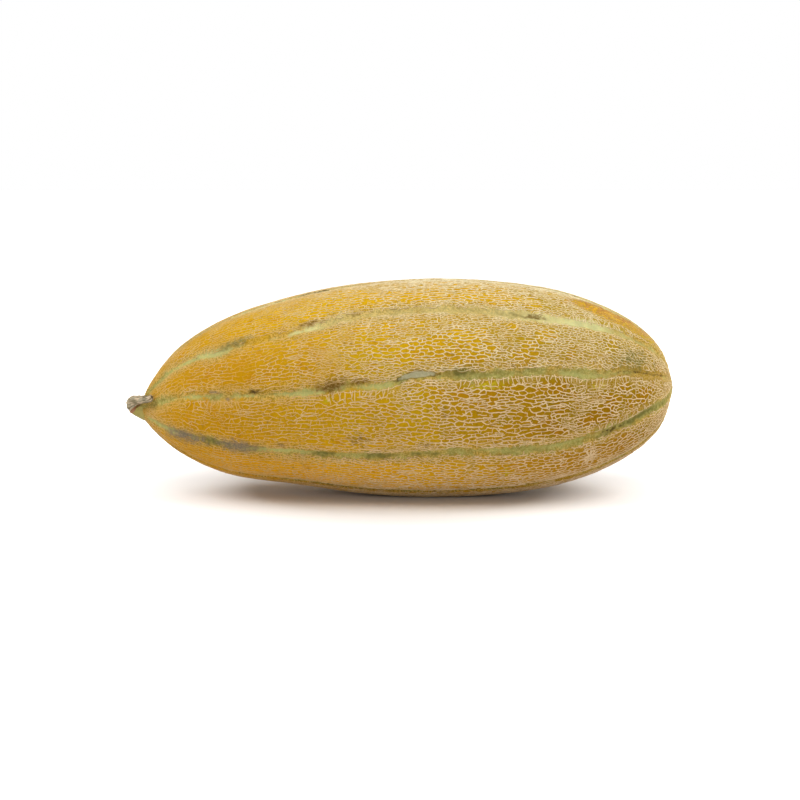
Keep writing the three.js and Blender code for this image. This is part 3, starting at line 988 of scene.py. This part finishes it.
def straightened(corners, edges):
    """Lays the cells' corners on the fruit and draws them into strands that run on through the corners.

    Returns the places, and whether each edge's two ends are part of the strand at their corner.
    """
    corners = corners / np.linalg.norm(corners, axis=1, keepdims=True)
    along = on_length((corners[:, 0] + 1) / 2 * FRUIT_LENGTH)
    place = to_fruit(along, np.arctan2(corners[:, 2], -corners[:, 1]))
    # A corner is the end of three edges. The two that run on straightest, and lengthwise, are one strand.
    ends = np.argsort(edges.ravel(), kind="stable")
    count = np.bincount(edges.ravel(), minlength=len(place))
    first = np.concatenate([[0], np.cumsum(count)[:-1]])
    three = np.flatnonzero(count == 3)
    end = ends[first[three][:, None] + np.arange(3)]
    other = edges.ravel()[end ^ 1]
    one, two = np.array([0, 0, 1]), np.array([1, 2, 2])
    away = place[other] - place[three][:, None]
    away /= np.linalg.norm(away, axis=2, keepdims=True) + 1e-9
    lengthwise = np.abs(away[:, :, 0])
    straight = -(away[:, one] * away[:, two]).sum(2)
    best = (straight + 0.55 * (lengthwise[:, one] + lengthwise[:, two])).argmax(1)
    pick = np.arange(len(three))
    # In some patches, on the front rib and towards the stem, the strands run straighter.
    over_floor = place + (0, 0, AXIS_Z)
    patch = drift(over_floor, 24, 8) + 0.3 * front_rib(over_floor)
    pull = 0.2 + 0.5 * smoothstep(0.05, 0.5, patch + 0.45 * smoothstep(130, 50, along))[three, None]
    middle = (place[other[pick, one[best]]] + place[other[pick, two[best]]]) / 2
    place[three] += pull * (middle - place[three])
    through = np.zeros(2 * len(edges), bool)
    through[end[pick, one[best]]] = True
    through[end[pick, two[best]]] = True
    return to_fruit(*from_fruit(place)), through.reshape(-1, 2)


def strands(corners, edges, settings):
    """Turns the cells' borders into the net: long wavy strands, and the links between them.

    Returns points as distance along, angle and half width, and the lines between them.
    """
    chance = np.random.default_rng(settings.seed)
    place, through = straightened(corners, edges)
    along, angle = from_fruit(place)
    shaken = chance.normal(0, 0.17, (2, len(place)))
    along = on_length(along + 0.5 * drift(place, 4, 1) + shaken[0])
    rows = rows_at(along, ALONG)
    radius = np.maximum(rows[:, 1], 3)
    angle = angle + (0.5 * drift(place, 4, 2) + shaken[1]) / radius
    # The lines are thinner towards the stem and where the net is fine.
    fine = smoothstep(0.6, 0.85, grain(*on_rind(rows, angle, 0), along))
    width = settings.line / MM / 2 * (1 + 0.7 * drift(place * (0.3, 1, 1), 3, 5))
    width *= (0.64 + 0.42 * smoothstep(40, 170, along)) * (1 - 0.3 * fine)

    start, stop = edges.T
    turn = np.angle(np.exp(1j * (angle[stop] - angle[start])))
    mid_along = (along[start] + along[stop]) / 2
    mid_angle = angle[start] + turn / 2
    run = along[stop] - along[start]
    span = np.hypot(run, turn * radius[start])
    cross = 1 - np.abs(run) / np.maximum(span, 1e-6)
    # No line crosses a seam, some links are lost, and the net is thin where the skin is fresh.
    mid_rows = rows_at(mid_along, ALONG)
    _, to_seam = on_rind(mid_rows, mid_angle, 0)
    bare = 2.1 + 0.7 * smoothstep(150, 190, mid_along) + 1.8 * drift(to_fruit(mid_along, mid_angle), 6, 6)
    bare += 3 * combed(mid_along, mid_angle)
    sparse = smoothstep(150, 40, mid_along)
    lost = chance.random(len(edges)) < 0.06 + (0.2 + 0.16 * sparse) * smoothstep(0.2, 0.7, cross)
    fresh = marks_at(mid_rows, mid_angle)["fresh"] > 0.5
    cleared = fresh & (chance.random(len(edges)) < 0.45 + 0.5 * cross)
    kept = (to_seam > bare) & ~lost & ~cleared
    stub = (to_seam > bare) & lost & ~cleared & (chance.random(len(edges)) < 0.8)

    # A link ends at a strand in a point of its own, so that only the strand runs on.
    corner_count, edge_count = len(place), len(edges)
    own = corner_count + np.arange(2 * edge_count).reshape(-1, 2)
    tip = np.where(through, edges, own)
    centre = corner_count + 2 * edge_count + np.arange(edge_count)
    wave = 0.14 * span * chance.uniform(-1, 1, edge_count)
    reach = np.maximum(span, 1e-6)
    points_along = np.concatenate([
        along, along[edges].ravel(), mid_along - wave * turn * radius[start] / reach])
    points_angle = np.concatenate([
        angle, angle[edges].ravel(), mid_angle + wave * run / reach / radius[start]])
    points_half = np.concatenate([
        1.08 * width, 0.75 * width[edges].ravel(),
        (width[start] + width[stop]) / 2 * chance.uniform(0.6, 0.95, edge_count)])
    short = kept & (span < 2)
    kept &= ~short
    lines = [
        tip[short], np.stack([tip[kept, 0], centre[kept]], -1), np.stack([centre[kept], tip[kept, 1]], -1)]
    # Some lost links leave a tapered stub.
    points_half[centre[stub]] *= 0.35
    side = (chance.random(edge_count) < 0.5).astype(int)
    lines.append(np.stack([own[stub, side[stub]], centre[stub]], -1))
    net = points_along, points_angle, points_half, np.vstack(lines)
    spurred = np.flatnonzero(kept & (span > 1.9) & (chance.random(edge_count) < 0.3))
    across = np.stack([-turn * radius[start], run], -1)[spurred] / span[spurred, None]
    return spurs(net, centre[spurred], across, radius[start[spurred]], chance)


def spurs(net, base, across, radius, chance):
    """Adds short spurs that stand off the middles of lines into the wide cells."""
    along, angle, half, lines = net
    reach = chance.uniform(0.5, 1.3, len(base)) * chance.choice([-1, 1], len(base))
    first = len(along) + np.arange(2 * len(base)).reshape(2, -1)
    angle = np.concatenate([angle, angle[base], angle[base] + reach * across[:, 1] / radius])
    along = np.concatenate([along, along[base], along[base] + reach * across[:, 0]])
    half = np.concatenate([half, 0.8 * half[base], 0.4 * half[base]])
    return along, angle, half, np.vstack([lines, first.T])


def with_line(net, along, angle, half, joined):
    """Adds a line of points to the net, where each of the points given is joined to the next."""
    first = len(net[0]) + joined
    return (
        np.concatenate([net[0], along]), np.concatenate([net[1], angle]), np.concatenate([net[2], half]),
        np.vstack([net[3], np.stack([first, first + 1], -1)]),
    )


def combed(along, angle):
    """1 where the short cross lines of a comb take the place of the cells beside a seam."""
    radius = rows_at(along, ALONG)[:, 1]
    seams = seam_angles(along, radius)
    found = np.zeros(len(along))
    for seam, side, start, stop in COMBS:
        across = side * past(angle, seams[seam]) * radius
        found[(along > start) & (along < stop) & (across > 0) & (across < 8.5)] = 1
    return found


def cracks(net, line, chance):
    """Adds the healed cracks to the net: each a pair of pale lips that part in the middle."""
    more = [(chance.uniform(30, 280), chance.uniform(80, 325), chance.uniform(7, 14)) for _ in range(60)]
    share = np.linspace(-1, 1, 9)
    for middle, degrees, length in (*LIPS, *more):
        along = middle + share * length / 2
        radius = rows_at(along, ALONG)[:, 1]
        tilt = chance.uniform(-0.6, 0.6)
        for side in (-1, 1):
            offset = side * 0.75 * (1 - share**2) + tilt * share
            half = 0.5 * line * (0.4 + 0.5 * (1 - share**2))
            net = with_line(net, along, np.radians(degrees) + offset / radius, half, np.arange(8))
    return net


def combs(net, line, chance):
    """Adds the combs to the net: short cross lines side by side along a seam."""
    for seam, side, start, stop in COMBS:
        for middle in start + np.cumsum(chance.uniform(1.2, 2.9, int((stop - start) / 2.05))):
            along = middle + np.linspace(0, 1, 4) ** 1.5 * chance.uniform(-2.6, 2.6)
            along += chance.uniform(-0.3, 0.3, 4)
            radius = rows_at(along, ALONG)[:, 1]
            across = np.linspace(chance.uniform(1.4, 3), 4.6 + 5 * chance.uniform(0, 1) ** 2, 4)
            angle = seam_angles(along, radius)[seam] + side * across / radius
            net = with_line(net, along, angle, 0.5 * line * np.linspace(1, 0.6, 4), np.arange(3))
        # A scalloped strand joins the tops of the cross lines.
        along = np.arange(start, stop, 1.1)
        radius = rows_at(along, ALONG)[:, 1]
        across = 2.7 + chance.uniform(-0.5, 0.5, len(along))
        angle = seam_angles(along, radius)[seam] + side * across / radius
        half = 0.5 * line * chance.uniform(0.5, 0.95, len(along))
        joined = np.flatnonzero(chance.random(len(along) - 1) < 0.85)
        net = with_line(net, along, angle, half, joined)
    return net


def star(net, line, chance):
    """Adds the star-shaped scar to the net: short lines that stand out from its middle."""
    for turn in np.arange(24) / 24 * 2 * np.pi + chance.uniform(-0.2, 0.2, 24):
        along = STAR[0] + math.cos(turn) * np.linspace(0.5, 5, 4) + chance.uniform(-0.4, 0.4, 4)
        radius = rows_at(along, ALONG)[:, 1]
        angle = math.radians(STAR[1]) + math.sin(turn) * np.linspace(0.5, 8, 4) / radius
        net = with_line(net, along, angle, 0.5 * line * np.linspace(1.5, 0.6, 4), np.arange(3))
    return net


def cork_material(settings):
    """Melon cork: dry, matt healed bark, pale beige, pinker towards the stem end, and brown where stained."""
    material, tree, shader = new_material("Melon cork")
    stain, patch = kept_marks(tree)
    place = add(tree, "ShaderNodeTexCoord").outputs["Object"]
    split = add(tree, "ShaderNodeSeparateXYZ", {0: place})
    # Scales are waves to the metre: 60 is 17 mm, 450 is 2.2 mm, 1300 is 0.8 mm.
    broad, spot, grit = (
        add(tree, "ShaderNodeTexNoise", {"Vector": place, "Scale": scale, "Detail": 2})
        for scale in (60, 450, 1300)
    )
    near_stem = add(tree, "ShaderNodeMapRange", {
        "Value": split.outputs["X"], "From Min": -0.1, "From Max": 0.02, "To Min": 1.5, "To Max": 0.3})
    pink = add(tree, "ShaderNodeMath", {0: near_stem, 1: broad}, operation="MULTIPLY", use_clamp=True)
    tan = add(tree, "ShaderNodeMapRange", {"Value": spot, "From Min": 0.45, "From Max": 0.7, "To Max": 0.35})
    # Painted shade: the cork is a little darker and warmer lower down on the fruit.
    low = add(tree, "ShaderNodeMapRange", {
        "Value": split.outputs["Z"], "From Min": 0.05, "From Max": 0.095, "To Min": 1, "To Max": 0})
    # The cork is thin and brown over the fresh skin on top.
    thin = add(tree, "ShaderNodeMapRange", {
        "Value": patch.outputs["Y"], "From Min": 0.4, "From Max": 0.6, "To Max": 0.9})
    aloft = add(tree, "ShaderNodeMapRange", {
        "Value": split.outputs["Z"], "From Min": 0.08, "From Max": 0.095})
    thin = add(tree, "ShaderNodeMath", {0: thin, 1: aloft}, operation="MULTIPLY")
    olive, brown, dark = (
        ragged_mask(tree, stain.outputs[axis], spot, grit, 1.65, 2.35, 0.85) for axis in "YXZ")
    # Painted shade: the feet of a line are darker than its crest, where the ridge meets the skin.
    crest = add(tree, "ShaderNodeAttribute", attribute_name="crest").outputs["Fac"]
    painted_foot_shade = add(tree, "ShaderNodeMapRange", {
        "Value": crest, "From Min": 0.0, "From Max": 0.5, "To Min": 0.75, "To Max": 0})
    colour = settings.cork[:]
    for factor, over in (
        (low, linear("#EAD4AE")), (thin, linear("#BC7C3C")), (pink, linear("#DAB056")),
        (tan, linear("#C0A070")), (olive, linear("#A09862")), (brown, linear("#9C7E4C")),
        (dark, linear("#665238")), (painted_foot_shade, linear("#9E7012")),
    ):
        colour = add(tree, "ShaderNodeMix", {"Factor": factor, "A": colour, "B": over}, data_type="RGBA")
    light = add(tree, "ShaderNodeMapRange", {
        "Value": grit, "From Min": 0.3, "From Max": 0.7, "To Min": 0.85, "To Max": 1.1})
    colour = add(tree, "ShaderNodeMix", {
        "Factor": 1.0, "A": colour, "B": light}, data_type="RGBA", blend_type="MULTIPLY")
    tree.links.new(result(colour), shader.inputs["Base Color"])
    shader.inputs["Roughness"].default_value = 0.85
    shader.inputs["Specular IOR Level"].default_value = 0.1
    bump = add(tree, "ShaderNodeBump", {"Strength": 0.4, "Distance": 0.15 * MM, "Height": grit})
    tree.links.new(bump.outputs[0], shader.inputs["Normal"])
    return material


def frames(tangent):
    """Directions along a line, level across it and upwards from it, each of length 1."""
    tangent = tangent / np.linalg.norm(tangent, axis=1, keepdims=True)
    across = np.cross(tangent, (0, 0, 1))
    across /= np.linalg.norm(across, axis=1, keepdims=True)
    return tangent, across, np.cross(across, tangent)


def evened(mesh, values, times):
    """A field on a mesh, evened out a number of times between corners that share an edge."""
    edges = np.array([e.vertices for e in mesh.edges])
    joins = np.maximum(np.bincount(edges.ravel(), minlength=len(values)), 1)
    for _ in range(times):
        beside = sum(np.bincount(edges[:, end], values[edges[:, 1 - end]], len(values)) for end in (0, 1))
        values = (values + beside / joins) / 2
    return values


class MELON_OT_stem(bpy.types.Operator):
    """Models the green neck and the dried, folded stub of the stem"""

    bl_idname = "melon.stem"
    bl_label = "Stem"

    def execute(self, context):
        line = smooth_line(STEM_LINE, STEM_SAMPLES)
        mesh = self.skin(context, line)
        places = np.array([v.co for v in mesh.vertices]) / MM
        away, at, turn = self.along_line(places - STEM_ROOT, line)
        reach = np.linalg.norm(away, axis=1)
        # The neck ends at a slanting rim, in front of which the stub folds back.
        past_rim = (places - STEM_ROOT - STEM_LINE[3][:3]) @ RIM_FACING + 0.8
        side = np.where(at > DRY_FROM, 2, past_rim) + 0.4 * drift(places, 2.2, 1)
        dry = smoothstep(-0.25, 0.25, side)
        near = evened(mesh, dry, 130)
        rim = 4 * near * (1 - near) * (0.3 + 0.7 * dry)
        hollow = smoothstep(1.0, 0.7, reach) * smoothstep(at.max() - 2.4, at.max() - 1.8, at)
        # Furrows run along the dried stub, with knots between them.
        wave = 8 * turn + 3 * drift(places, 3.6, 2) + 0.35 * at
        furrow = (1 - np.abs(np.sin(wave / 2))) * (0.75 + 0.5 * drift(places, 3, 5))
        knots = drift(places, 1.5, 3)
        height = 0.22 * rim + dry * (0.12 - 0.3 * furrow + 0.3 * knots)
        height += (1 - dry) * 0.08 * drift(places, 3, 4)
        height *= 1 - hollow
        places = places + away / np.maximum(reach, 0.1)[:, None] * height[:, None]
        places[:, 0] = np.maximum(places[:, 0], CAD_BOX[0].x / MM + 0.05)
        mesh.vertices.foreach_set("co", (places * MM).astype(np.float32).ravel())
        for name, field in (("dry", dry), ("rim", rim), ("furrow", furrow * dry), ("hollow", hollow)):
            store(mesh, name, field)
        store(mesh, "fibre", np.stack([0.3 * at, 3 * np.cos(turn), 3 * np.sin(turn)], -1))
        mesh.materials.clear()
        mesh.materials.append(stem_material(context.scene.melon_stem))
        mesh.name = "dried_stem"
        piece = finished(bpy.data.objects.new("dried_stem", mesh))
        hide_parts("stem")
        return {"FINISHED"}

    def along_line(self, places, line):
        """Where places are on the stem: how they lie from its line, how far along it, and at what angle."""
        centre, radius = line[:, :3], line[:, 3]
        travelled = np.concatenate([[0], np.cumsum(np.linalg.norm(np.diff(centre, axis=0), axis=1))])
        tangent, across, above = frames(np.gradient(centre, travelled, axis=0))
        away = places[:, None, :] - centre[None]
        nearest = (np.linalg.norm(away, axis=2) - 0.4 * radius[None]).argmin(1)
        away = away[np.arange(len(places)), nearest]
        turn = np.arctan2((away * above[nearest]).sum(1), (away * across[nearest]).sum(1))
        # The distance starts at the line's second point, on the fruit's tip.
        start = np.linalg.norm(centre[STEM_SAMPLES] - centre[0])
        return away, travelled[nearest] + (away * tangent[nearest]).sum(1) - start, turn

    def skin(self, context, line):
        """A closed skin round the stem's line, hollow at the broken tip, remade with even faces."""
        sides = 28
        turn = np.arange(sides) / sides * 2 * np.pi
        centre, radius = line[:, :3], line[:, 3]
        tangent, _, _ = frames(np.gradient(centre, axis=0))
        # The last rings turn in at the mouth of the hollow tip.
        tip, heading = centre[-1], tangent[-1]
        centre = np.vstack([centre, tip + 0.5 * heading, tip + 0.4 * heading, tip - 0.5 * heading])
        radius = np.concatenate([radius, [1.2, 0.75, 0.5]])
        _, across, above = frames(np.vstack([tangent, heading, heading, heading]))
        rings = centre[:, None] + radius[:, None, None] * (
            across[:, None] * np.cos(turn)[None, :, None] + above[:, None] * np.sin(turn)[None, :, None])
        index = np.arange(len(centre) * sides).reshape(-1, sides)
        beside = np.roll(index, -1, 1)
        faces = np.stack([index[:-1], beside[:-1], beside[1:], index[1:]], -1).reshape(-1, 4).tolist()
        faces += [index[0][::-1].tolist(), index[-1].tolist()]
        mesh = bpy.data.meshes.new("stem skin")
        mesh.from_pydata((rings + STEM_ROOT).reshape(-1, 3) * MM, [], faces)
        holder = bpy.data.objects.new("holder", mesh)
        remade = holder.modifiers.new("even", "REMESH")
        remade.mode = "VOXEL"
        remade.voxel_size = 0.3 * MM
        eased = holder.modifiers.new("eased", "SMOOTH")
        eased.iterations = 4
        return made_real(context, holder)


def stem_material(settings):
    """Melon stem: a smooth waxy green neck, and a dried stub of grey woody fibre with a red-brown rim."""
    material, tree, shader = new_material("Dried melon stem")
    place = add(tree, "ShaderNodeTexCoord").outputs["Object"]
    dry, rim, furrow, hollow = (
        add(tree, "ShaderNodeAttribute", attribute_name=name).outputs["Fac"]
        for name in ("dry", "rim", "furrow", "hollow")
    )
    # Scales are waves to the metre: 250 is 4 mm, 900 is 1.1 mm.
    broad, grit = (
        add(tree, "ShaderNodeTexNoise", {
            "Vector": place, "Scale": scale, "Detail": 3}) for scale in (250, 900))
    # The stub's fibres run along it, each about 1 mm wide.
    along = add(tree, "ShaderNodeAttribute", attribute_name="fibre").outputs["Vector"]
    fibre = add(tree, "ShaderNodeTexNoise", {"Vector": along, "Scale": 0.9, "Detail": 3})
    strand = add(tree, "ShaderNodeTexNoise", {"Vector": along, "Scale": 0.45, "Detail": 2})
    olive = add(tree, "ShaderNodeMapRange", {
        "Value": broad, "From Min": 0.4, "From Max": 0.65, "To Max": 0.7})
    neck = add(tree, "ShaderNodeMix", {
        "Factor": olive, "A": settings.green[:], "B": linear("#94843C")}, data_type="RGBA")
    streak = add(tree, "ShaderNodeMapRange", {"Value": fibre, "From Min": 0.42, "From Max": 0.58})
    stub = add(tree, "ShaderNodeMix", {
        "Factor": streak, "A": linear("#D6C2A4"), "B": settings.dry[:]}, data_type="RGBA")
    grey = add(tree, "ShaderNodeMapRange", {"Value": broad, "From Min": 0.45, "From Max": 0.6, "To Max": 0.6})
    shade = add(tree, "ShaderNodeMapRange", {
        "Value": strand, "From Min": 0.5, "From Max": 0.62, "To Max": 0.75})
    # Painted shade: the furrows of the dried stub are darkened.
    deep = add(tree, "ShaderNodeMapRange", {
        "Value": furrow, "From Min": 0.3, "From Max": 0.8, "To Max": 0.85})
    for factor, over in ((grey, linear("#9A9880")), (shade, linear("#75684A")), (deep, linear("#5D5337"))):
        stub = add(tree, "ShaderNodeMix", {"Factor": factor, "A": stub, "B": over}, data_type="RGBA")
    red = add(tree, "ShaderNodeMath", {0: fibre, 1: 0.8, 2: rim}, operation="MULTIPLY_ADD")
    red = add(tree, "ShaderNodeMapRange", {"Value": red, "From Min": 0.68, "From Max": 1.0, "To Max": 0.8})
    colour = neck
    # The hollow at the broken tip is painted dark brown: painted shade inside it.
    for factor, over in ((dry, stub), (red, linear("#A26A46")), (hollow, linear("#5E5028"))):
        colour = add(tree, "ShaderNodeMix", {"Factor": factor, "A": colour, "B": over}, data_type="RGBA")
    tree.links.new(result(colour), shader.inputs["Base Color"])
    roughness = add(tree, "ShaderNodeMapRange", {"Value": dry, "To Min": 0.5, "To Max": 0.9})
    tree.links.new(roughness.outputs[0], shader.inputs["Roughness"])
    shader.inputs["Specular IOR Level"].default_value = 0.3
    strength = add(tree, "ShaderNodeMapRange", {"Value": dry, "To Min": 0.1, "To Max": 0.7})
    bump = add(tree, "ShaderNodeBump", {"Strength": strength, "Distance": 0.3 * MM, "Height": grit})
    tree.links.new(bump.outputs[0], shader.inputs["Normal"])
    return material


class MELON_PT_sidebar(bpy.types.Panel):
    """Lists the melon's settings and steps"""

    bl_label = "Melon"
    bl_idname = "MELON_PT_sidebar"
    bl_space_type = "VIEW_3D"
    bl_region_type = "UI"
    bl_category = "Melon"

    def draw(self, context):
        for name, group in SETTINGS.items():
            box = self.layout.box()
            for setting in group.__annotations__:
                box.prop(getattr(context.scene, name), setting)
        for operator in STEPS:
            self.layout.operator(operator.bl_idname)


STEPS = (MELON_OT_stage, MELON_OT_rind, MELON_OT_netting, MELON_OT_stem)
SETTINGS = {
    "melon_rind": MelonRind, "melon_net": MelonNet, "melon_stem": MelonStem, "melon_stage": MelonStage,
}


def register():
    for kind in (*SETTINGS.values(), *STEPS, MELON_PT_sidebar):
        bpy.utils.register_class(kind)
    for name, kind in SETTINGS.items():
        setattr(bpy.types.Scene, name, bpy.props.PointerProperty(type=kind))


def unregister():
    for name in SETTINGS:
        delattr(bpy.types.Scene, name)
    for kind in (MELON_PT_sidebar, *STEPS, *SETTINGS.values()):
        bpy.utils.unregister_class(kind)


def main():
    register()
    bpy.ops.melon.stage()
    bpy.ops.melon.rind()
    bpy.ops.melon.netting()
    bpy.ops.melon.stem()


if __name__ == "__main__":
    main()
